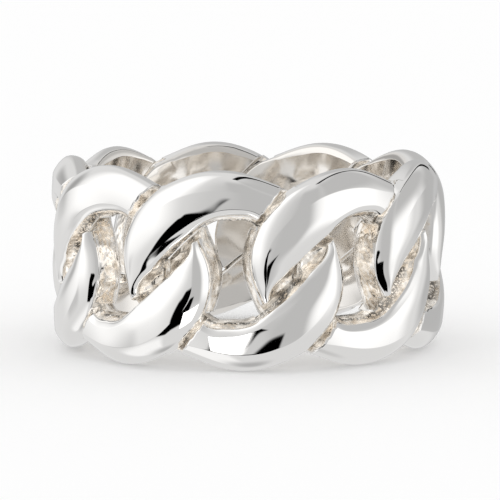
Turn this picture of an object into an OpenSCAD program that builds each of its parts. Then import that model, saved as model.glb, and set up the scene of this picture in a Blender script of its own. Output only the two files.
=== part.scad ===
// Chain link ring: nine flattened curb links, each passing through the next,
// closed into a finger ring that lies on one rim with its axis along Z.
// Link 1 is centred on -Y and the others follow counter-clockwise seen from above.

/* [Ring] */
// Inside diameter of the finger opening
bore_d = 17.3; // [15:0.1:22]
// Height of the band from rim to rim
band_w = 10.2; // [8.6:0.1:12]
// Metal between the finger opening and the crest of a link at its ends
wall = 1.55; // [1.45:0.05:2]

/* [Links] */
// Angle that one link covers round the ring
link_span = 69.2; // [68:0.1:70]
// Height that a strand gains where it rides over its neighbour
rise = 0.5; // [0.3:0.05:0.9]
// Fall of the narrow bevel along the inner edge of a strand
bevel_drop = 0.25; // [0.15:0.05:0.4]
// Doming of the outer face
dome = 0.1; // [0:0.01:0.15]

/* [Fit] */
// Clearance between one link and the next
seam = 0.06; // [0.05:0.01:0.08]
// Height above the finger opening at which two crossing strands meet
cross_h = 0.95; // [0.9:0.05:1]

/* [Output] */
// Which link to draw

/* [Hidden] */
link_count = 9;
pitch = 360 / link_count;
bore_r = bore_d / 2;
half_link = link_span / 2;
half_band = band_w / 2;
cross_r = bore_r + cross_h;
silver = [0.83, 0.82, 0.80];
// Angle between two sides of the bored finger opening
bore_step = 2;
// Depth by which a strand is modelled below the finger opening before it is bored
sink = wall / 5;
// Drop of the face's two creases below the crest, which breaks the corner
crease = wall / 25;
// Height above the finger opening at which the upright side of a strand ends, and its change
// where the side is tucked under a rounded rim
side_h = wall * 0.48;
tuck_h = wall * 0.19;
// Length that one degree of a link has at mid thickness
deg = (bore_r + wall / 2) * PI / 180;

// One row for each section of a strand, from the left end of a link over its top to its
// right end. The other half of the loop is the same rows turned by half a turn.
// turn: place round the loop in degrees.
// oa, oz: outer rim, as shares of half_link and half_band.
// ia, iz: inner foot, as the same shares.
// reach, depth: rounding of the outer edge, along the face and down, as shares of the wall.
// cant: fall of the face from its inner to its outer crease, as a share of the wall.
// bevel, slope: inner bevel and the wall of the recess inside it, as shares of the wall.
// lift: share of the rise. top: 1 for the full face, 0 where a neighbour lies over it.
// over: 1 where the foot clears a neighbour below. flare: foot beyond the rim, share of the wall.
columns = ["turn", "oa", "oz", "ia", "iz", "reach", "depth", "cant", "bevel", "slope", "lift",
  "top", "over", "flare"];
strand = [
  // turn  oa      oz     ia      iz    reach depth cant  bevel slope lift  top over flare
  [203, -0.893, -0.324, -0.605, -0.067, 0.10, 0.28, 0.04, 0.10, 1.20, 0.32, 1, 0,  0.20],
  [193, -0.962, -0.150, -0.598, -0.035, 0.40, 0.30, 0.08, 0.27, 0.39, 0.46, 1, 0,  0.24],
  [183, -1.000,  0.039, -0.587,  0.000, 0.52, 0.30, 0.10, 0.30, 0.27, 0.60, 1, 0,  0.26],
  [172, -0.986,  0.225, -0.589,  0.035, 0.52, 0.25, 0.12, 0.29, 0.16, 0.74, 1, 0,  0.23],
  [160, -0.942,  0.392, -0.569,  0.082, 0.52, 0.23, 0.15, 0.28, 0.11, 0.86, 1, 0,  0.20],
  [159, -0.937,  0.405, -0.562,  0.091, 0.52, 0.23, 0.15, 0.28, 0.11, 0.87, 1, 1,  0.06],
  [146, -0.847,  0.569, -0.451,  0.220, 0.56, 0.24, 0.16, 0.27, 0.11, 0.98, 1, 1,  0.06],
  [132, -0.728,  0.710, -0.329,  0.349, 0.58, 0.31, 0.11, 0.25, 0.08, 0.98, 1, 1,  0.06],
  [118, -0.595,  0.830, -0.208,  0.459, 0.60, 0.37, 0.08, 0.25, 0.08, 0.84, 1, 1,  0.06],
  [117, -0.581,  0.839, -0.200,  0.463, 0.60, 0.37, 0.08, 0.25, 0.08, 0.83, 1, 0, -0.20],
  [103, -0.355,  0.953, -0.104,  0.492, 0.62, 0.43, 0.09, 0.23, 0.14, 0.60, 1, 0, -0.30],
  [ 90, -0.130,  1.000, -0.014,  0.494, 0.64, 0.49, 0.10, 0.27, 0.18, 0.39, 1, 0, -0.30],
  [ 78,  0.101,  0.976,  0.075,  0.494, 0.60, 0.52, 0.10, 0.25, 0.18, 0.24, 1, 0, -0.30],
  [ 65,  0.382,  0.869,  0.187,  0.468, 0.48, 0.48, 0.06, 0.23, 0.18, 0.11, 1, 0, -0.18],
  [ 62,  0.442,  0.838,  0.214,  0.436, 0.40, 0.44, 0.00, 0.23, 0.20, 0.08, 0, 0, -0.10],
  [ 52,  0.613,  0.747,  0.324,  0.329, 0.30, 0.36, 0.00, 0.23, 0.20, 0.00, 0, 0,  0.00],
  [ 39,  0.772,  0.594,  0.451,  0.226, 0.26, 0.30, 0.00, 0.23, 0.20, 0.00, 0, 0,  0.00],
  [ 26,  0.876,  0.392,  0.600,  0.092, 0.26, 0.30, 0.00, 0.10, 1.20, 0.10, 0, 0,  0.20]
];
function column(name) = search([name], columns)[0];
TURN = column("turn"); OA = column("oa"); OZ = column("oz"); IA = column("ia"); IZ = column("iz");
REACH = column("reach"); DEPTH = column("depth"); CANT = column("cant"); BEVEL = column("bevel");
SLOPE = column("slope"); LIFT = column("lift"); TOP = column("top"); OVER = column("over");
FLARE = column("flare");

// The whole loop: the rows, then the rows turned by half a turn about the middle of the link
loop = concat(strand, [for (r = strand) [for (c = [0:len(r) - 1])
  c == TURN ? r[c] - 180 : c <= IZ ? -r[c] : r[c]]]);

// Rows between the table's rows, on a smooth curve through them; top and over go straight
function place(i) = i < 0 ? loop[i + len(loop)][TURN] + 360
  : i >= len(loop) ? loop[i - len(loop)][TURN] - 360 : loop[i][TURN];
function row(i) = loop[(i + len(loop)) % len(loop)];
function rate(i, c) = (row(i + 1)[c] - row(i - 1)[c]) / (place(i + 1) - place(i - 1));
function blend(i, c, u) = let (h = place(i + 1) - place(i), a = row(i)[c], b = row(i + 1)[c])
  c == TOP || c == OVER ? a + (b - a) * u
  : c == TURN ? place(i) + h * u
  : a * (2 * u * u * u - 3 * u * u + 1) + b * (3 * u * u - 2 * u * u * u)
    + h * (rate(i, c) * (u * u * u - 2 * u * u + u) + rate(i + 1, c) * (u * u * u - u * u));
// A long interval gets a section half way along it
long_gap = 11.5;
rings = [for (i = [0:len(loop) - 1]) for (u = place(i) - place(i + 1) > long_gap ? [0, 0.5] : [0])
  [for (c = [0:FLARE]) blend(i, c, u)]];

// Drop of a quarter ellipse at s from the rim: depth at the rim and nothing from reach on
function rounded_drop(s, reach, depth) =
  s >= reach ? 0 : depth * (1 - sqrt(1 - (1 - s / reach) * (1 - s / reach)));

// A point at s from the rim toward the inner foot, as angle, radius and height, turned to x, y, z
function on_ring(a, r, z) = [r * sin(a), -r * cos(a), z];
function section(v) = let (
    oa = v[OA] * half_link, oz = v[OZ] * half_band,
    ia = v[IA] * half_link, iz = v[IZ] * half_band,
    width = norm([(ia - oa) * deg, iz - oz]),
    crest = bore_r + wall + rise * v[LIFT],
    low = cross_r - seam / 2, high = cross_r + seam / 2,
    foot = bore_r - sink + v[OVER] * (high - bore_r + sink),
    tucked = max(0, min(1, -v[FLARE] * 5)),
    reach = v[REACH] * wall, depth = v[DEPTH] * wall, cant = v[CANT] * wall,
    inner_edge = width - v[SLOPE] * wall,
    inner_crease = inner_edge - v[BEVEL] * wall,
    flare = v[FLARE] * wall,
    side = v[OVER] > 0.5 ? cross_r + 2 * seam : bore_r + side_h - tuck_h * tucked,
    // the face: shares of the way from the rim to where its rounding ends, then its middle
    across = [inner_crease, (inner_crease + reach) / 2, reach, reach * 0.4, reach * 0.1, 0],
    face = [for (s = across) let (x = s / inner_crease) [s, crest - crease
      + 4 * dome * x * (1 - x) - cant * (1 - x) - rounded_drop(s, reach, depth)]]
  ) [for (p = concat(
      [[width, foot]],
      [for (f = concat([[width, cross_r + seam], [inner_edge, crest - crease - bevel_drop]], face))
        [f[0], max(low, low + v[TOP] * (f[1] - low))]],
      [[-max(flare, 0) / 2, min(side, low + v[TOP] * (side - low)) ], [-flare, foot]],
      [[width / 3, foot], [width * 2 / 3, foot]]
    )) on_ring(oa + (ia - oa) * p[0] / width, p[1], oz + (iz - oz) * p[0] / width)];

// Closed skin through the sections of the loop
module skin() {
  n = len(rings);
  sections = [for (v = rings) section(v)];
  m = len(sections[0]);
  polyhedron(
    points = [for (s = sections) each s],
    faces = [for (i = [0:n - 1]) for (j = [0:m - 1]) let (
        a = i * m + j, b = i * m + (j + 1) % m,
        c = (i + 1) % n * m + (j + 1) % m, d = (i + 1) % n * m + j
      ) each [[a, b, c], [a, c, d]]]
  );
}

// One link at its place round the ring, bored to the finger opening
module link(i) {
  color(silver) difference() {
    rotate([0, 0, (i - 1) * pitch]) skin();
    cylinder(r = bore_r, h = band_w + 2 * wall, center = true, $fn = 360 / bore_step);
  }
}

link(1);  // link_1
link(2);  // link_2
link(3);  // link_3
link(4);  // link_4
link(5);  // link_5
link(6);  // link_6
link(7);  // link_7
link(8);  // link_8
link(9);  // link_9
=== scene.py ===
# %% [markdown]
# # A finger ring of curb chain links
#
# The ring is a band of nine broad links, each a flattened loop of silver that passes through its two
# neighbours. It lies on one rim with the finger's axis upright. The links are cast and then polished
# only where a wheel reaches, so every proud face is a mirror and every recess keeps the matt, warm
# skin of the casting. That contrast is what makes it read as silver, and most of this file is about it.

import bpy
import numpy as np
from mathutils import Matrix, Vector


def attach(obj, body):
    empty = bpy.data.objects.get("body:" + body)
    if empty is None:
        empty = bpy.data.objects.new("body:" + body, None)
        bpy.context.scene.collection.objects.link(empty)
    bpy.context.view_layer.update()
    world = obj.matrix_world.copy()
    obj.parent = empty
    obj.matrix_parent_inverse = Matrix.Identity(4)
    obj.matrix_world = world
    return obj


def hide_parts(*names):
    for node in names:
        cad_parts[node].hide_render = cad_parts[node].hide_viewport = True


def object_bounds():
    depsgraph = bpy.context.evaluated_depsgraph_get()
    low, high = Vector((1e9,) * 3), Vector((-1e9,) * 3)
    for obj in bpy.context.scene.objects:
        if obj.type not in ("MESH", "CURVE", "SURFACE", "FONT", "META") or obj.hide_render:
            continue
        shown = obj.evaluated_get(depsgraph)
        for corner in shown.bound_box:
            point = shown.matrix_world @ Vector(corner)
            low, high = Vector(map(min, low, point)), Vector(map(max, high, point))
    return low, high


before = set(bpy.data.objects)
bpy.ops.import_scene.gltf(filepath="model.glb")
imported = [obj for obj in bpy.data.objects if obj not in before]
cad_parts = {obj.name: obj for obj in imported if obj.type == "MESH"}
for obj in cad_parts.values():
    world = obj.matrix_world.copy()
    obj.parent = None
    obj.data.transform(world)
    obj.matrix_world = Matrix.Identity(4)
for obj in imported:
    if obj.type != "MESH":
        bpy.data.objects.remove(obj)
cad_low, cad_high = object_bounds()
MM = 0.001
print("links in the frame:", len(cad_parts))
print("box in mm:", [round((top - bottom) / MM, 2) for bottom, top in zip(cad_low, cad_high)])

# %% [markdown]
# ## The sizes
#
# The same driving sizes shape the solid links, in millimetres. The height of the band is read from
# the frame, so a link always fills the node that it stands for.

# %% Sizes of the band and of a link
LINKS = 9
PITCH = 360 / LINKS
BORE_R = 8.65
WALL = 1.55
RISE = 0.5
HALF_LINK = 34.6
HALF_BAND = (cad_high.z - cad_low.z) / (2 * MM)
ONE_DEGREE = (BORE_R + WALL / 2) * np.pi / 180
print("half band", round(HALF_BAND, 3), "mm, one degree is", round(ONE_DEGREE, 3), "mm")

# %% Heights at which two crossing strands meet
CROSS_H = 0.95
CROSS_R = BORE_R + CROSS_H
SEAM = 0.06
UNDER = CROSS_R - SEAM / 2
OVER = CROSS_R + SEAM / 2
print("a lower strand ends at", round(UNDER, 2), "mm and an upper one starts at", round(OVER, 2), "mm")

# %% [markdown]
# ## The strand of one link
#
# A link is a closed loop, and half a turn about its middle brings it onto itself. It could be a bent
# bar with a curve modifier, but its section changes all the way round: narrow where it goes under a
# neighbour, broad and soft at its ends. So a table of sections along one half is used. Each row says
# where the outer rim and the inner foot of a section lie and how its edges are broken.
#
# - turn is the place round the loop in degrees.
# - rim_a and rim_z place the outer rim, and foot_a and foot_z the inner foot, as shares of HALF_LINK
#   and HALF_BAND.
# - reach and depth are the rounding of the outer edge, along the face and down.
# - dome is the rise in the middle of the face, and cant its fall toward the rim.
# - bevel and slope are the narrow bevel and the wall of the recess. All six are shares of WALL.
# - lift is a share of RISE, by which a strand climbs over its neighbour.
# - dip is a share of DIP, a hollow of the face along its inner crease.

# %% Table of sections, from the left end of a link over its top to its right end
COLUMNS = ["turn", "rim_a", "rim_z", "foot_a", "foot_z", "reach", "depth", "dome", "cant",
           "bevel", "slope", "lift", "dip"]
STRAND = np.array([
    # turn rim_a  rim_z  foot_a  foot_z reach depth dome  cant bevel slope lift  dip
    [203, -0.893, -0.324, -0.605, -0.067, 0.10, 0.28, 0.05, 0.04, 0.10, 1.20, 0.32, 0.0],
    [193, -0.962, -0.150, -0.598, -0.035, 0.40, 0.30, 0.07, 0.08, 0.27, 0.39, 0.46, 0.0],
    [183, -1.000,  0.039, -0.587,  0.000, 0.52, 0.30, 0.09, 0.10, 0.30, 0.27, 0.60, 0.1],
    [172, -0.986,  0.225, -0.589,  0.035, 0.52, 0.25, 0.10, 0.12, 0.29, 0.16, 0.74, 0.5],
    [160, -0.942,  0.392, -0.569,  0.082, 0.52, 0.23, 0.10, 0.15, 0.28, 0.11, 0.86, 0.9],
    [146, -0.847,  0.569, -0.451,  0.220, 0.56, 0.24, 0.10, 0.16, 0.27, 0.11, 0.98, 1.0],
    [132, -0.728,  0.710, -0.329,  0.349, 0.58, 0.31, 0.07, 0.10, 0.25, 0.08, 0.98, 1.1],
    [118, -0.595,  0.830, -0.208,  0.459, 0.60, 0.40, 0.05, 0.05, 0.25, 0.08, 0.84, 0.2],
    [103, -0.355,  0.953, -0.104,  0.492, 0.62, 0.48, 0.04, 0.04, 0.23, 0.14, 0.60, 0.0],
    [ 90, -0.130,  1.000, -0.014,  0.494, 0.64, 0.55, 0.03, 0.04, 0.27, 0.18, 0.39, 0.0],
    [ 78,  0.101,  0.976,  0.075,  0.494, 0.60, 0.56, 0.04, 0.06, 0.25, 0.18, 0.24, 0.0],
    [ 67,  0.341,  0.880,  0.171,  0.488, 0.50, 0.50, 0.03, 0.08, 0.23, 0.18, 0.12, 0.0],
    [ 52,  0.613,  0.747,  0.324,  0.329, 0.30, 0.36, 0.05, 0.00, 0.23, 0.20, 0.00, 0.0],
    [ 39,  0.772,  0.594,  0.451,  0.226, 0.26, 0.30, 0.04, 0.00, 0.23, 0.20, 0.00, 0.0],
    [ 26,  0.876,  0.392,  0.600,  0.092, 0.26, 0.30, 0.04, 0.00, 0.10, 1.26, 0.10, 0.0],
])
print("sections in the table:", len(STRAND))

# %% [markdown]
# Some things change suddenly along a strand, so they have a table of their own, read on straight
# lines. top is 1 for the full face and 0 where a neighbour lies over it. over is 1 where the foot
# clears a neighbour below. flare is how far the foot stands beyond the rim, as a share of WALL, and
# below 0 the rim overhangs. skew is how many degrees longer the rim keeps the full face than the foot.

# %% Table of sudden steps
STEP_COLUMNS = ["turn", "top", "over", "flare", "skew"]
STEPS = np.array([
    # turn top over flare skew
    [203,  1, 0,  0.20, 0],
    [183,  1, 0,  0.26, 0],
    [160,  1, 0,  0.20, 0],
    [159,  1, 1,  0.06, 0],
    [118,  1, 1,  0.06, 0],
    [117,  1, 0, -0.20, 0],
    [103,  1, 0, -0.30, 0],
    [ 78,  1, 0, -0.30, 3],
    [64.5, 1, 0, -0.17, 3],
    [ 62,  0, 0, -0.10, 3],
    [ 52,  0, 0,  0.00, 3],
    [ 39,  0, 0,  0.00, 0],
    [ 26,  0, 0,  0.20, 0],
])


def whole_loop(rows, places):
    """The rows, then the same rows turned by half a turn: 180 degrees less, and each place negated."""
    turned_rows = rows.copy()
    turned_rows[:, 0] -= 180
    turned_rows[:, 1:1 + places] *= -1
    return np.vstack([rows, turned_rows])


LOOP = whole_loop(STRAND, places=4)
STEP_LOOP = whole_loop(STEPS, places=0)
print("rows round the whole loop:", len(LOOP), "and steps:", len(STEP_LOOP))

# %% [markdown]
# ## A smooth run between the rows
#
# A polished strand shows every corner of its shape in its reflections. A cubic through the rows has
# no kinks, but its curvature still jumps at a row. So the curve is worked out finely and then
# averaged with a narrow bell, which is what a polishing wheel does to the metal.

# %% A smooth curve through the rows
FIRST_TURN = STRAND[0, 0]
FINE_STEP = 0.25
FINE = np.arange(FIRST_TURN - 360, FIRST_TURN, FINE_STEP)
SOFTEN = 5.0


def through_rows(turn):
    """Cubic Hermite curve through the rows; the slope at a row is the difference of its neighbours
    over their difference in turn. u is the share of the way from one row to the next."""
    place = np.concatenate([LOOP[-2:, 0] + 360, LOOP[:, 0], LOOP[:3, 0] - 360])
    value = np.vstack([LOOP[-2:], LOOP, LOOP[:3]])
    slope = np.zeros_like(value)
    slope[1:-1] = (value[2:] - value[:-2]) / (place[2:] - place[:-2])[:, None]
    i = np.searchsorted(-place, -turn, side="right") - 1
    gap = (place[i + 1] - place[i])[:, None]
    u = ((turn - place[i]) / gap[:, 0])[:, None]
    return (value[i] * (2 * u**3 - 3 * u**2 + 1) + value[i + 1] * (3 * u**2 - 2 * u**3)
            + gap * (slope[i] * (u**3 - 2 * u**2 + u) + slope[i + 1] * (u**3 - u**2)))


def softened(curve):
    """The closed curve averaged with a bell of SOFTEN degrees: the product of their Fourier
    transforms is that average, all the way round."""
    away = np.minimum(FINE - FINE[0], 360 - (FINE - FINE[0]))
    bell = np.exp(-0.5 * (away / SOFTEN) ** 2)
    bell /= bell.sum()
    mixed = np.fft.ifft(np.fft.fft(curve, axis=0) * np.fft.fft(bell)[:, None], axis=0)
    return mixed.real


SOFT_LOOP = softened(through_rows(FINE)[:, 1:])
print("places on the fine curve:", len(FINE))


# %% All columns at any turn
def step(name, turn):
    """A column of the table of steps at any turn, on straight lines."""
    return np.interp(turn, STEP_LOOP[:, 0], STEP_LOOP[:, STEP_COLUMNS.index(name)], period=360)


def along(turn):
    """Every column at the given turns: the soft curve for the sections, straight lines for the steps."""
    at = {name: np.interp(turn, FINE, SOFT_LOOP[:, k], period=360)
          for k, name in enumerate(COLUMNS[1:])}
    for name in STEP_COLUMNS[1:]:
        at[name] = step(name, turn)
    at["turn"] = turn
    return at


# %% Turns at which the mesh has a section
EVEN = 0.75
CLOSE_AT = [183, 182, 141, 140, 87.5, 85]
CLOSE_BY = [-0.3, -0.1, 0, 0.1, 0.3]
CROWN = np.arange(85, 87.5, 0.25)


def turns():
    """Turns of the sections from the largest down: even steps round the loop, and closer ones at the
    left end, the shoulder and the crown of a link, on both halves."""
    even = np.arange(FIRST_TURN - 180, FIRST_TURN, EVEN)
    close = np.add.outer(CLOSE_AT, CLOSE_BY).ravel()
    half = np.unique(np.round(np.concatenate([even, close, CROWN]), 3))
    return np.concatenate([half - 180, half])[::-1]


TURNS = turns()
print("sections in the mesh:", len(TURNS))

# %% [markdown]
# ## The section across a strand
#
# Across a strand the outline climbs the wall and the rough slope of the recess, turns a crisp crease
# onto a narrow bevel, crosses a slightly domed face, rolls over a broad, soft outer edge and goes
# down to the bore, whose side closes it. Each part is worked out for all the sections at once, as
# arrays of the distance s from the rim toward the inner foot and of the radius. u is the share of
# the way along the part. With each point go the cast mask, which is 1 where no wheel has been, the
# mask of the seam, and whether the point is on the face.

# %% Lengths that the parts of a section share
BEVEL_TOP = 0.30
CREASE = 0.06
DIP = 0.08
UNDER_DOME = 0.10
SOFT_FLARE = 0.2


def with_lengths(at):
    """The columns, with the lengths in mm that follow from them. edge is where the slope of the
    recess ends and crease where the bevel does; soft is 1 where the rim overhangs and rolls in."""
    for name in ("reach", "depth", "dome", "cant"):
        at[name] = at[name] * WALL
    at["width"] = np.hypot((at["foot_a"] - at["rim_a"]) * HALF_LINK * ONE_DEGREE,
                           (at["foot_z"] - at["rim_z"]) * HALF_BAND)
    at["crest"] = BORE_R + WALL + RISE * at["lift"]
    at["foot"] = BORE_R + at["over"] * (OVER - BORE_R)
    at["edge"] = at["width"] - at["slope"] * WALL
    at["crease"] = at["edge"] - at["bevel"] * WALL
    at["hollow"] = DIP * at["dip"]
    at["rim"] = at["crest"] - CREASE - at["cant"] - at["depth"]
    at["under_drop"] = (1 - at["over"]) * UNDER_DOME
    at["soft"] = np.clip(-at["flare"] / SOFT_FLARE, 0, 1)
    at["outer_foot"] = -at["flare"] * WALL
    return at


SECTIONS = with_lengths(along(TURNS))
WIDTHS = SECTIONS["width"]
print("width of a strand in mm:", round(WIDTHS.min(), 2), "to", round(WIDTHS.max(), 2))

# %% [markdown]
# The recess is where two links cross. It is cast, so nothing in it is quite straight. The wall
# stands up from the bore, and the slope above it starts flat in a wide recess and steep in a
# narrow one. The seam mask marks the line where one link meets the next. That line is pitted and
# lies in the shade of the crevice, and the material paints it dark as painted shade.

# %% The recess
WALL_SHARES = (0, 0.04, 0.08, 0.2, 0.4, 0.6, 0.8, 0.9)
WALL_CAST = 0.05
SEAM_FROM, SEAM_FULL = 0.7, 0.9
SLOPE_SHARES = np.linspace(0, 1, 17)[:-1] ** 0.8
NARROW, WIDE = 0.25, 0.85
STEEP, FLATTER = 1.15, 3.0
SEAM_WIDTH = 0.2


def recess_wall(at):
    """From the inner foot straight up to where a strand above would start. The seam mask rises from
    0 to 1 between SEAM_FROM and SEAM_FULL."""
    start = at["foot"] + at["under_drop"]
    for u in WALL_SHARES:
        height = start + u * (np.maximum(OVER, start) - start)
        seam = np.clip((u - SEAM_FROM) / (SEAM_FULL - SEAM_FROM), 0, 1)
        yield at["width"], height, float(u > WALL_CAST), seam, False


def recess_slope(at):
    """Up to the bevel: the height grows as u to a power, from STEEP in a narrow recess to FLATTER
    more in a wide one. The seam mask fades over SEAM_WIDTH."""
    wide = np.clip((at["slope"] - NARROW) / (WIDE - NARROW), 0, 1)
    power = STEEP + FLATTER * wide
    for u in SLOPE_SHARES:
        s = at["width"] + (at["edge"] - at["width"]) * u
        height = OVER + (at["crest"] - BEVEL_TOP - OVER) * u ** power
        seam = np.clip(1 - (at["width"] - at["edge"]) * u / SEAM_WIDTH, 0, 1)
        yield s, height, 1, seam, False


print("points across a recess:", len(WALL_SHARES) + len(SLOPE_SHARES))

# %% [markdown]
# The bevel and the face carry the polish. A wheel leaves the bevel slightly bowed and the face
# slightly domed, with a hollow where it follows the strand up over its neighbour. The edge between
# the face and the outer rounding is crisp, and that bend is what cuts the dark reflections short.

# %% The bevel and the face
BEVEL_POINTS = ((0, 1), (0.05, 0.2), (0.09, 0), (0.5, 0), (0.88, 0), (0.95, 0), (1, 0))
BOW = 0.03
BOW_LOSS = 0.035
FACE_SHARES = np.concatenate([[0.012, 0.03, 0.06], np.linspace(0.1, 0.97, 14)])
ROUND_SHARES = np.array([0, 0.04, 0.1, 0.2, 0.32, 0.44, 0.56, 0.68, 0.79, 0.88, 0.95, 1])
DIP_REACH = 0.7
BREAK = 0.35


def bevel(at):
    """Straight across to the inner crease, plus a bow of half a sine wave, which turns into a small
    sag where the face has its hollow. BEVEL_POINTS holds u and the cast mask."""
    bow = BOW - BOW_LOSS * at["dip"]
    rise = BEVEL_TOP - CREASE - at["hollow"]
    for u, cast in BEVEL_POINTS:
        s = at["edge"] + (at["crease"] - at["edge"]) * u
        yield s, at["crest"] - BEVEL_TOP + rise * u + bow * np.sin(np.pi * u), cast, 0, True


def rounded_drop(s, reach, depth):
    """Drop toward the rim: nothing past reach, then a crisp bend onto a ramp that takes the share
    BREAK of the depth, on top of a quarter ellipse with an upright end that takes the rest."""
    x = np.clip(1 - s / reach, 0, 1)
    return depth * (BREAK * x + (1 - BREAK) * (1 - np.sqrt(1 - x * x)))


def face(at):
    """A parabola between the two creases, tilted by the cant, less the hollow, which fades as a
    square over DIP_REACH, and less the rounded drop."""
    inner = [at["crease"] + (at["reach"] - at["crease"]) * u for u in FACE_SHARES]
    outer = [at["reach"] * (1 - u) for u in ROUND_SHARES]
    for s in inner + outer:
        x = 2 * s / at["crease"] - 1
        height = at["crest"] - CREASE + at["dome"] * (1 - x * x) - at["cant"] * (1 - x) / 2
        height = height - at["hollow"] * np.clip(1 - (at["crease"] - s) / DIP_REACH, 0, 1) ** 2
        yield s, height - rounded_drop(s, at["reach"], at["depth"]), 0, 0, True


print("points across the bevel and the face:", len(BEVEL_POINTS) + len(FACE_SHARES) + len(ROUND_SHARES))

# %% [markdown]
# The outer side goes from the rim down to the bore, and rolls in where the rim lies at the edge of
# the band. The underside is the finger's side. It is comfort shaped, a little fuller in the middle.

# %% The outer side and the underside
SIDE_SHARES = np.linspace(0, 1, 12)[1:]
SIDE_FACE = 0.5
SIDE_CAST_FULL, SIDE_CAST_END = 1 / 3, 0.9
BARE_FLARE, CAST_FLARE = 0.07, 0.17
UNDER_SHARES = (0.04, 0.12, 0.25, 0.4, 0.55, 0.7, 0.8, 0.88, 0.95)


def outer_side(at):
    """Down to the outer foot. The way out to it is even where the side is straight and a quarter
    circle where it is soft. The side is as cast where the flare is past CAST_FLARE, down to
    SIDE_CAST_END, and not at all below BARE_FLARE."""
    as_cast = np.clip((at["flare"] - BARE_FLARE) / (CAST_FLARE - BARE_FLARE), 0, 1) * (1 - at["over"])
    end = at["foot"] + at["under_drop"] * (1 - at["soft"])
    for u in SIDE_SHARES:
        rolled = 1 - np.sqrt(np.clip(1 - u * u, 0, 1))
        out = u * (1 - at["soft"]) + rolled * at["soft"]
        height = at["rim"] + (end - at["rim"]) * u
        cast = as_cast * np.clip(u / SIDE_CAST_FULL, 0, 1) * (u < SIDE_CAST_END)
        yield at["outer_foot"] * out, height, cast, 0, u < SIDE_FACE


def underside(at):
    """Back to the inner foot. The metal is fullest in the middle, and its two sides fall away as
    squares; a soft outer side has no fall of its own."""
    for u in UNDER_SHARES:
        fall = at["under_drop"] * (2 * u - 1) ** 2
        if u < 0.5:
            fall = fall * (1 - at["soft"])
        yield at["outer_foot"] + (at["width"] - at["outer_foot"]) * u, at["foot"] + fall, 0, 0, False


print("points down the side and back:", len(SIDE_SHARES) + len(UNDER_SHARES))

# %% Outline of every section, and its place round the ring
TOP_CAST = 12


def outline(at):
    """Rows of (distance from the rim, radius, cast mask, seam mask) for every section. What rises
    above UNDER is scaled by top, so a strand sinks to UNDER where its neighbour lies over it."""
    points = []
    for part in (recess_wall, recess_slope, bevel, face, outer_side, underside):
        for s, height, cast, seam, on_face in part(at):
            share = np.clip(s / at["width"], 0, 1)
            top = step("top", at["turn"] + at["skew"] * (1 - share))
            height = np.where(height > UNDER, UNDER + top * (height - UNDER), height)
            if on_face:
                cast = np.maximum(cast, np.clip((1 - top) * TOP_CAST, 0, 1))
            points.append(np.stack(np.broadcast_arrays(s, height, cast, seam), -1))
    return np.stack(points, 1)


def link_points(at):
    """Points of one link centred on -Y: each section runs from its rim to its inner foot in angle
    and height, and the radius is that of the outline."""
    rows = outline(at)
    share = rows[:, :, 0] / at["width"][:, None]
    angle = (at["rim_a"][:, None] + (at["foot_a"] - at["rim_a"])[:, None] * share) * np.radians(HALF_LINK)
    z = (at["rim_z"][:, None] + (at["foot_z"] - at["rim_z"])[:, None] * share) * HALF_BAND
    z = np.clip(z, -HALF_BAND, HALF_BAND)
    radius = rows[:, :, 1]
    return np.stack([radius * np.sin(angle), -radius * np.cos(angle), z], -1), rows[:, :, 2], rows[:, :, 3]


POINTS, CAST, SEAMS = link_points(SECTIONS)
print("points in a link:", POINTS.shape[0], "sections of", POINTS.shape[1])

# %% [markdown]
# ## The skin of the casting
#
# Where no wheel has been, the metal keeps soft lumps and small pits. A bump map would show them, but
# the recesses are seen from close by and from the side, so they are real relief. They are pressed
# only into the metal, so that the hairline gaps between the links stay open.

# %% Lumps and pits
LATTICE_CELLS = 24
SEED = 11
LATTICE = np.random.default_rng(SEED).random((LATTICE_CELLS,) * 3)
CELL_SHIFT = 64
LEDGE = 0.035
LARGE_SIZE, LARGE_DEPTH = 0.55, 0.075
SMALL_SIZE, SMALL_DEPTH = 0.27, 0.05
SMALL_SHIFT = 9
TINY = 1e-9


def lumps(points, size):
    """Value noise between 0 and 1: random numbers on a lattice of the given size in mm, blended
    between the eight corners of a cell with a smooth step. CELL_SHIFT keeps the cells above 0."""
    place = points / size + CELL_SHIFT
    cell = np.floor(place).astype(int)
    u = place - cell
    u = u * u * (3 - 2 * u)
    total = 0
    for corner in range(8):
        bit = np.array([corner & 1, corner >> 1 & 1, corner >> 2 & 1])
        weight = np.prod(np.where(bit, u, 1 - u), axis=-1)
        i, j, k = np.moveaxis((cell + bit) % LATTICE_CELLS, -1, 0)
        total = total + weight * LATTICE[i, j, k]
    return total


def outward(points):
    """Unit normals of a grid closed both ways, from the differences of neighbours."""
    along_it = np.roll(points, -1, 0) - np.roll(points, 1, 0)
    across_it = np.roll(points, -1, 1) - np.roll(points, 1, 1)
    normal = np.cross(along_it, across_it)
    size = np.linalg.norm(normal, axis=-1, keepdims=True)
    return normal / np.maximum(size, TINY)


def pressed(points, cast):
    """The points pressed inward under the cast mask: by LEDGE everywhere, by the square of the large
    lumps and by the small ones."""
    depth = LEDGE + LARGE_DEPTH * lumps(points, LARGE_SIZE) ** 2
    depth = depth + SMALL_DEPTH * lumps(points + SMALL_SHIFT, SMALL_SIZE)
    return points - outward(points) * (cast * depth)[:, :, None]


print("deepest lumps in mm:", round(LEDGE + LARGE_DEPTH + SMALL_DEPTH, 3))
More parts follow.
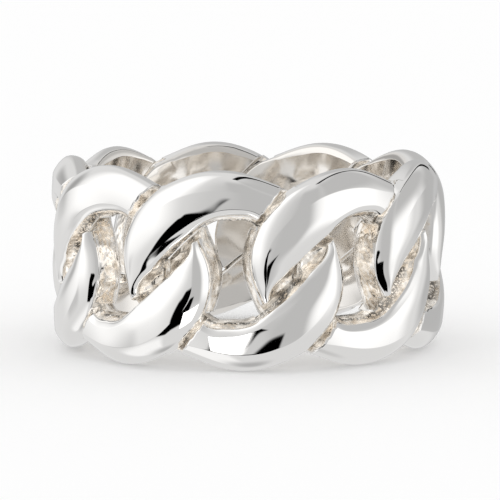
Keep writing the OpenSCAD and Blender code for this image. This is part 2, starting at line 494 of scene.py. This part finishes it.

# %% [markdown]
# ## The silver
#
# Both finishes are one metal, so one material serves. Polished silver has almost no colour of its
# own and a very low roughness. In the bore it is painted a little warmer and darker, a painted
# reflection of the warm recesses across the ring. The cast skin is warmer, matt and patchy, with
# pits along the seams painted near-black, the painted shade of the crevice where the links meet,
# and it takes part of its brightness from light that bounces about in the recess, which a faint
# glow stands in for. Three masks kept on the mesh's points say where each finish lies. A painted
# image could hold them too, but the masks come with the shape and stay sharp.

# %% A shorthand for joining nodes
class Nodes:
    """Adds nodes to a tree and joins them. Each call returns the output socket of its node, and
    every value may be a number, a colour or another node's output."""

    def __init__(self, tree):
        self.tree = tree

    def new(self, kind):
        """A new node of the given kind."""
        return self.tree.nodes.new(kind)

    def join(self, value, socket):
        """The value set on the socket, or linked to it where the value is a socket itself."""
        if isinstance(value, bpy.types.NodeSocket):
            self.tree.links.new(value, socket)
        elif isinstance(value, tuple) and len(socket.default_value) > len(value):
            socket.default_value = (*value, 1)
        elif value is not None:
            socket.default_value = value

    def math(self, kind, *values):
        """One sum of the given kind."""
        node = self.new("ShaderNodeMath")
        node.operation = kind
        for value, socket in zip(values, node.inputs):
            self.join(value, socket)
        return node.outputs[0]

    def ramp(self, value, low, high, start=0.0, end=1.0):
        """A smooth step from start to end as the value goes from low to high."""
        node = self.new("ShaderNodeMapRange")
        node.interpolation_type = "SMOOTHSTEP"
        names = ("Value", "From Min", "From Max", "To Min", "To Max")
        for name, given in zip(names, (value, low, high, start, end)):
            self.join(given, node.inputs[name])
        return node.outputs["Result"]

    def mix(self, factor, a, b, kind="FLOAT"):
        """a where the factor is 0 and b where it is 1, and between them in proportion."""
        node = self.new("ShaderNodeMix")
        node.data_type = kind
        for name, given in zip(("Factor", "A", "B"), (factor, a, b)):
            self.join(given, node.inputs[name])
        return node.outputs["Result"]

    def attribute(self, name):
        """A mask kept on the mesh's points."""
        node = self.new("ShaderNodeAttribute")
        node.attribute_name = name
        return node.outputs["Fac"]

    def noise(self, place, scale, detail):
        """Soft noise about 0.5, with scale as its spots in a metre and detail as its finer layers."""
        node = self.new("ShaderNodeTexNoise")
        for name, given in zip(("Vector", "Scale", "Detail"), (place, scale, detail)):
            self.join(given, node.inputs[name])
        return node.outputs["Fac"]


print("helpers for nodes:", [name for name in vars(Nodes) if not name.startswith("_")])

# %% Silver, polished and as cast
# The bore colour is a painted reflection: the bore is tinted warmer and darker for the warm cast recesses
# that it mirrors across the ring.
POLISHED, BORE_PAINTED_REFLECTION = (0.96, 0.95, 0.935), (0.92, 0.89, 0.85)
SKIN_DARK, SKIN_LIGHT = (0.86, 0.79, 0.70), (0.97, 0.93, 0.88)
# The near-black seam colour is painted shade: the crevice along the seams, speckled like the casting's
# pits.
SKIN_GRAIN, SEAM_PITS_AND_SHADE = (0.72, 0.64, 0.54), (0.10, 0.09, 0.08)
NO_GLOW, WARM_GLOW = (0.0, 0.0, 0.0), (1.0, 0.95, 0.87)
POLISHED_ROUGH, BORE_ROUGH = 0.03, 0.06
GRAIN_HEIGHT, GRAIN_STRENGTH = 0.12 * MM, 0.9


def silver():
    """Polished silver where the cast mask is 0, and in the bore a painted reflection, warmer and darker;
    warm, matt casting skin with bright flecks where it is 1, a faint glow for the light bounced about
    the recess, and pits along the seams painted near-black as the shade of the crevice between links."""
    mat = bpy.data.materials.new("ring silver")
    mat.use_nodes = True
    shader = mat.node_tree.nodes["Principled BSDF"]
    shader.inputs["Metallic"].default_value = 1.0
    shader.inputs["Emission Strength"].default_value = 1.0
    add = Nodes(mat.node_tree)
    cast, seam, bore = add.attribute("cast"), add.attribute("seam"), add.attribute("bore")
    place = add.new("ShaderNodeTexCoord").outputs["Object"]
    patches = add.noise(place, scale=1200.0, detail=1.5)
    grain = add.noise(place, scale=2700.0, detail=1.0)
    specks = add.noise(place, scale=9000.0, detail=2.0)

    skin = add.mix(add.ramp(patches, low=0.35, high=0.65), SKIN_DARK, SKIN_LIGHT, "RGBA")
    # Painted shade: near-black specks along the seam, where the crevice between the links lies in shade.
    seam_pits_and_shade = add.math("MULTIPLY", add.ramp(seam, low=0.3, high=0.7), add.ramp(specks, low=0.40, high=0.50))
    skin = add.mix(seam_pits_and_shade, skin, SEAM_PITS_AND_SHADE, "RGBA")
    skin = add.mix(add.ramp(grain, low=0.44, high=0.30), skin, SKIN_GRAIN, "RGBA")
    # Painted reflection: the bore is mixed toward a warmer, darker colour.
    metal = add.mix(bore, POLISHED, BORE_PAINTED_REFLECTION, "RGBA")
    add.join(add.mix(cast, metal, skin, "RGBA"), shader.inputs["Base Color"])

    patch_glow = add.ramp(patches, low=0.42, high=0.6, start=0.04, end=0.26)
    glow = add.math("MULTIPLY", cast, patch_glow)
    add.join(add.mix(glow, NO_GLOW, WARM_GLOW, "RGBA"), shader.inputs["Emission Color"])

    cast_rough = add.ramp(grain, low=0.4, high=0.62, start=0.26, end=0.08)
    rough = add.math("ADD", add.math("MULTIPLY", cast, cast_rough), POLISHED_ROUGH)
    rough = add.math("ADD", rough, add.math("MULTIPLY", bore, BORE_ROUGH))
    add.join(rough, shader.inputs["Roughness"])

    bump = add.new("ShaderNodeBump")
    bump.inputs["Distance"].default_value = GRAIN_HEIGHT
    bump.inputs["Strength"].default_value = GRAIN_STRENGTH
    add.join(add.math("MULTIPLY", grain, cast), bump.inputs["Height"])
    add.join(bump.outputs["Normal"], shader.inputs["Normal"])
    return mat


SILVER = silver()
print("material:", SILVER.name, "with", len(SILVER.node_tree.nodes), "nodes")

# %% [markdown]
# ## Nine links
#
# The links of such a ring are alike, as if out of one mould. So one link's points are turned nine
# times, and only the lumps differ, because the noise is taken at each link's own place. Copies that
# share one mesh would repeat the lumps, so every link is a mesh of its own, which stands in for its
# node.

# %% A mesh from a grid of points
QUAD = 4


def closed_faces(sections, across):
    """Quads of a grid closed both ways: sections round the loop, and points across a section."""
    i, j = np.meshgrid(np.arange(sections), np.arange(across), indexing="ij")
    here, beside = i * across + j, i * across + (j + 1) % across
    ahead = (i + 1) % sections * across + j
    ahead_beside = (i + 1) % sections * across + (j + 1) % across
    return np.stack([here, ahead, ahead_beside, beside], -1).reshape(-1, QUAD)


def grid_object(name, points, faces, masks):
    """A smooth mesh object from arrays of points in mm and quads, with named masks on its points."""
    mesh = bpy.data.meshes.new(name)
    mesh.vertices.add(len(points))
    mesh.vertices.foreach_set("co", (points * MM).astype(np.float32).ravel())
    mesh.loops.add(faces.size)
    mesh.loops.foreach_set("vertex_index", faces.astype(np.int32).ravel())
    mesh.polygons.add(len(faces))
    mesh.polygons.foreach_set("loop_start", np.arange(0, faces.size, QUAD, dtype=np.int32))
    mesh.polygons.foreach_set("use_smooth", np.ones(len(faces), bool))
    mesh.update(calc_edges=True)
    for label, values in masks.items():
        mask = mesh.attributes.new(label, "FLOAT", "POINT")
        mask.data.foreach_set("value", values.astype(np.float32).ravel())
    piece = bpy.data.objects.new(name, mesh)
    bpy.context.scene.collection.objects.link(piece)
    return piece


def turned(points, degrees):
    """Points turned about the Z axis."""
    a = np.radians(degrees)
    spin = np.array([[np.cos(a), -np.sin(a), 0], [np.sin(a), np.cos(a), 0], [0, 0, 1]])
    return points @ spin.T


FACES = closed_faces(*POINTS.shape[:2])
print("triangles in a link:", 2 * len(FACES))

# %% The links in their places
# The bore mask says where the material paints its warmer, darker painted reflection.
BORE_SKIN, BORE_FADE = 0.3, 0.15
BORE = np.clip((BORE_R + BORE_SKIN - np.hypot(POINTS[..., 0], POINTS[..., 1])) / BORE_FADE, 0, 1)
MASKS = {"cast": CAST, "seam": SEAMS, "bore": BORE}
for k in range(LINKS):
    placed = turned(POINTS, PITCH * k)
    link = grid_object(f"link_{k + 1}_silver", pressed(placed, CAST).reshape(-1, 3), FACES, MASKS)
    link.data.materials.append(SILVER)
    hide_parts(f"link_{k + 1}")
    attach(link, "root")
print("links made:", LINKS)

# %% [markdown]
# ## The floor
#
# The ring lies on a white table that has no edge in sight. A large matt card does, with a faint glow
# of its own, which keeps it near white under the ring. The silver doesn't mirror it, because the
# painted studio below holds a floor with the right shades.

# %% A card, and the floor made from one
FAR = 3000
WHITE, PALE = (1.0, 1.0, 1.0), (0.95, 0.95, 0.95)
FLOOR_GLOW = 0.065
MATT, NO_SHINE = 0.9, 0.0


def card(name, corners, color, strength):
    """A four-cornered matt card with a glow. The corners are in mm."""
    mesh = bpy.data.meshes.new(name)
    mesh.from_pydata([Vector(corner) * MM for corner in corners], [], [(0, 1, 2, 3)])
    piece = bpy.data.objects.new(name, mesh)
    bpy.context.scene.collection.objects.link(piece)
    mat = bpy.data.materials.new(name)
    mat.use_nodes = True
    shader = mat.node_tree.nodes["Principled BSDF"]
    shader.inputs["Base Color"].default_value = (*color, 1)
    shader.inputs["Roughness"].default_value = MATT
    shader.inputs["Specular IOR Level"].default_value = NO_SHINE
    shader.inputs["Emission Color"].default_value = (*color, 1)
    shader.inputs["Emission Strength"].default_value = strength
    mesh.materials.append(mat)
    return piece


SQUARE = ((-1, -1), (1, -1), (1, 1), (-1, 1))
floor = card("floor", [(x * FAR, y * FAR, -HALF_BAND) for x, y in SQUARE], PALE, FLOOR_GLOW)
floor.visible_glossy = False
print("floor at", round(-HALF_BAND, 2), "mm")

# %% [markdown]
# ## A small card close to the ring
#
# A photographer tucks a small white card close to a jewel to lift one reflection. This one stands
# just in front of the lower strand of the front link. It is so near that this strand mirrors it and
# the strands above hardly do. It fades out to the right along a leaning line, so it has no hard end
# there, and only the silver sees it.

# %% The near card
NEAR_Y = -12.7
NEAR_LEFT, NEAR_RIGHT = -2.2, 1.1
NEAR_LOW, NEAR_HIGH = -5.5, -3.3
NEAR_GLOW = 1.25
FADE_LEAN = -0.4
FADE_OUT, FADE_FULL = 2.5 * MM, 1.8 * MM


def fade_right(mat):
    """Alpha falls from 1 to 0 as x plus FADE_LEAN times z goes from FADE_FULL to FADE_OUT."""
    add = Nodes(mat.node_tree)
    split = add.new("ShaderNodeSeparateXYZ")
    add.join(add.new("ShaderNodeTexCoord").outputs["Object"], split.inputs["Vector"])
    across = add.math("MULTIPLY_ADD", split.outputs["Z"], FADE_LEAN, split.outputs["X"])
    shader = mat.node_tree.nodes["Principled BSDF"]
    add.join(add.ramp(across, FADE_OUT, FADE_FULL), shader.inputs["Alpha"])


near_card = card("low white card", [(NEAR_LEFT, NEAR_Y, NEAR_LOW), (NEAR_RIGHT, NEAR_Y, NEAR_LOW),
                                    (NEAR_RIGHT, NEAR_Y, NEAR_HIGH), (NEAR_LEFT, NEAR_Y, NEAR_HIGH)],
                 WHITE, NEAR_GLOW)
fade_right(near_card.data.materials[0])
near_card.visible_camera = False
near_card.visible_diffuse = False
near_card.visible_shadow = False
print("near card in mm:", round(NEAR_RIGHT - NEAR_LEFT, 2), "by", round(NEAR_HIGH - NEAR_LOW, 2))

# %% [markdown]
# ## The studio
#
# Polished silver shows nothing but its surroundings, so the studio is as much a part of the look as
# the metal. Lamps and real cards would need dozens of objects. Here the studio is painted on the
# world instead, by direction: soft white and grey cards, black flags that give the dark reflections
# their crisp ends, and one thin boom at the back. Azimuth runs from the front (-Y) toward +X, and
# elevation up, both in degrees.

# %% One soft card, as a node group
def soft_card_group():
    """Mask of a soft-edged card seen in a direction: 1 where both the azimuth and the elevation lie
    within half a width of its middle, falling smoothly to 0 over the softness."""
    group = bpy.data.node_groups.new("soft card", "ShaderNodeTree")
    for name in ("Azimuth", "Elevation", "Middle Azimuth", "Half Width", "Middle Elevation",
                 "Half Height", "Softness"):
        group.interface.new_socket(name=name, in_out="INPUT", socket_type="NodeSocketFloat")
    group.interface.new_socket(name="Mask", in_out="OUTPUT", socket_type="NodeSocketFloat")
    add = Nodes(group)
    given = add.new("NodeGroupInput").outputs

    def inside(away, half):
        outer = add.math("ADD", given[half], given["Softness"])
        inner = add.math("SUBTRACT", given[half], given["Softness"])
        return add.ramp(add.math("ABSOLUTE", away), outer, inner)

    above = add.math("SUBTRACT", given["Elevation"], given["Middle Elevation"])
    beside = add.math("SUBTRACT", given["Azimuth"], given["Middle Azimuth"])
    round_it = add.math("FLOORED_MODULO", add.math("ADD", beside, 180.0), 360.0)
    beside = add.math("SUBTRACT", round_it, 180.0)
    mask = add.math("MULTIPLY", inside(beside, "Half Width"), inside(above, "Half Height"))
    add.join(mask, add.new("NodeGroupOutput").inputs["Mask"])
    return group


SOFT_CARD = soft_card_group()
print("sockets of a soft card:", [item.name for item in SOFT_CARD.interface.items_tree])

# %% The cards and flags
# Brightness, middle azimuth, half width, middle elevation, half height and softness, in degrees
CARDS = {
    "floor":             (0.88,    0, 200, -70, 38,  8),
    "bright floor left": (1.20,  -66,  40, -58, 14,  8),
    "left softbox":      (1.38,  -74,  36,  34, 46, 16),
    "left low grey":     (0.72,  -86,  14, -22,  7,  6),
    "far left grey":     (0.48, -130,  10,  12, 14,  8),
    "grey wall left":    (0.72,   10,  25,  20, 45, 20),
    "grey wall right":   (0.64,   26,  20,  20, 46,  7),
    "right white panel": (1.36,   76,  26,   0, 20, 10),
    "upper right grey":  (0.64,   95,  50,  50, 24, 10),
    "far right grey":    (0.60,  145,  20,   5, 22, 10),
    "back":              (0.64,  178,  16,  20, 40, 10),
    "under the ring":    (0.55,    0, 200, -90, 11,  8),
}
# Black flags: corners as azimuth and elevation, clockwise, each pair of neighbours one straight side
FLAGS = {
    "upper flag": [(-20, -3), (-2, -3), (4, -6), (-3, -11), (-14, -18), (-26, -14)],
    "left flag": [(-24, -7), (-14, -9), (-8, -22), (-12, -40), (-20, -43), (-38, -38), (-30, -18)],
    "low flag": [(-18, -19), (3, -17.5), (22, -14), (10, -40), (-30, -40)],
    "low flag's tail": [(-18, -20), (-50, -26), (-50, -38), (-18, -38)],
}
FLAG_SOFT = 1.3
BETWEEN_CARDS = 0.92
print("cards:", len(CARDS), "flags:", len(FLAGS))

# %% [markdown]
# The boom is a dark strip along a great circle, kept to the back of the studio and above the ring.
# BOOM_NORMAL is square to that circle, and the strip lies where a direction's share along it is near
# BOOM_PLACE.

# %% The boom, and the light that the table and camera see
BOOM_NORMAL = (-0.976, 0.192, 0.096)
BOOM_PLACE = -0.11
BOOM_HALF = 0.038
BOOM_SOFT = 0.010
BOOM_FRONT = -0.15
BOOM_LOW = 10.0
SEEN_BY_THE_REST = 1.22


def painted_cards(add, azimuth, elevation):
    """The brightness between the cards, with each card mixed over the ones before it by its mask."""
    value = BETWEEN_CARDS
    for name, (bright, *sizes) in CARDS.items():
        node = add.new("ShaderNodeGroup")
        node.node_tree, node.label = SOFT_CARD, name
        for given, socket in zip((azimuth, elevation, *sizes), node.inputs):
            add.join(given, socket)
        value = add.mix(node.outputs["Mask"], value, bright)
    return value


def flag_mask(add, azimuth, elevation, corners):
    """1 inside a convex outline: the product, over its sides, of a smooth step of the distance from
    the side. The distance is the direction times the side's inward unit normal."""
    mask = 1.0
    for (azimuth_a, elevation_a), (azimuth_b, elevation_b) in zip(corners, corners[1:] + corners[:1]):
        length = np.hypot(azimuth_b - azimuth_a, elevation_b - elevation_a)
        by_azimuth = float((elevation_b - elevation_a) / length)
        by_elevation = float((azimuth_a - azimuth_b) / length)
        start = azimuth_a * by_azimuth + elevation_a * by_elevation
        depth = add.math("ADD", add.math("MULTIPLY", azimuth, by_azimuth),
                         add.math("MULTIPLY", elevation, by_elevation))
        mask = add.math("MULTIPLY", add.ramp(depth, start - FLAG_SOFT, start + FLAG_SOFT), mask)
    return mask


def beside_boom(add, direction, elevation, depth):
    """0 on the boom and 1 elsewhere, also in front and below BOOM_LOW."""
    across = add.new("ShaderNodeVectorMath")
    across.operation = "DOT_PRODUCT"
    across.inputs[1].default_value = BOOM_NORMAL
    add.join(direction, across.inputs[0])
    away = add.math("ABSOLUTE", add.math("SUBTRACT", across.outputs["Value"], BOOM_PLACE))
    beside = add.ramp(away, BOOM_HALF - BOOM_SOFT, BOOM_HALF + BOOM_SOFT)
    off = add.math("MAXIMUM", add.math("LESS_THAN", elevation, BOOM_LOW),
                   add.math("LESS_THAN", depth, BOOM_FRONT))
    return add.math("MAXIMUM", beside, off)


print("boom half width in degrees:", round(float(np.degrees(BOOM_HALF)), 1))


# %% The world
def studio():
    """The world: even white to the camera and the table, and the painted studio to the silver."""
    world = bpy.data.worlds.new("studio")
    world.use_nodes = True
    world.node_tree.nodes.clear()
    add = Nodes(world.node_tree)
    direction = add.new("ShaderNodeTexCoord").outputs["Generated"]
    split = add.new("ShaderNodeSeparateXYZ")
    add.join(direction, split.inputs["Vector"])
    front = add.math("MULTIPLY", split.outputs["Y"], -1.0)
    azimuth = add.math("DEGREES", add.math("ARCTAN2", split.outputs["X"], front))
    elevation = add.math("DEGREES", add.math("ARCSINE", split.outputs["Z"]))

    value = painted_cards(add, azimuth, elevation)
    for corners in FLAGS.values():
        open_share = add.math("SUBTRACT", 1.0, flag_mask(add, azimuth, elevation, corners))
        value = add.math("MULTIPLY", value, open_share)
    value = add.math("MULTIPLY", value, beside_boom(add, direction, elevation, split.outputs["Y"]))

    mirrored = add.new("ShaderNodeLightPath").outputs["Is Glossy Ray"]
    light = add.new("ShaderNodeBackground")
    add.join(add.mix(mirrored, SEEN_BY_THE_REST, value), light.inputs["Strength"])
    out = add.new("ShaderNodeOutputWorld")
    add.join(light.outputs["Background"], out.inputs["Surface"])
    return world


bpy.context.scene.world = studio()
print("nodes in the studio:", len(bpy.context.scene.world.node_tree.nodes))

# %% [markdown]
# ## The camera
#
# A long lens from a little above, as jewels are mostly photographed: the near and the far side of
# the band keep nearly the same size, and the finger opening shows as a slim ellipse.

# %% The camera
CAMERA_AZIMUTH, CAMERA_ELEVATION = np.radians(4.8), np.radians(6.8)
CAMERA_DISTANCE = 143.0
LENS, SENSOR = 191.5, 36
SHIFT_X, SHIFT_Y = 0.0065, -0.0018
CLIP_NEAR, CLIP_FAR = 0.01, 10

camera_data = bpy.data.cameras.new("camera")
camera = bpy.data.objects.new("camera", camera_data)
bpy.context.scene.collection.objects.link(camera)
toward = Vector((np.sin(CAMERA_AZIMUTH) * np.cos(CAMERA_ELEVATION),
                 -np.cos(CAMERA_AZIMUTH) * np.cos(CAMERA_ELEVATION),
                 np.sin(CAMERA_ELEVATION)))
camera.location = toward * CAMERA_DISTANCE * MM
camera.rotation_mode = "QUATERNION"
camera.rotation_quaternion = (-toward).to_track_quat("-Z", "Y")
camera_data.sensor_width = SENSOR
camera_data.lens = LENS
camera_data.shift_x, camera_data.shift_y = SHIFT_X, SHIFT_Y
camera_data.clip_start, camera_data.clip_end = CLIP_NEAR, CLIP_FAR
bpy.context.scene.camera = camera
bpy.context.scene.view_settings.view_transform = "Standard"
print("camera at", [round(c / MM, 1) for c in camera.location], "mm")
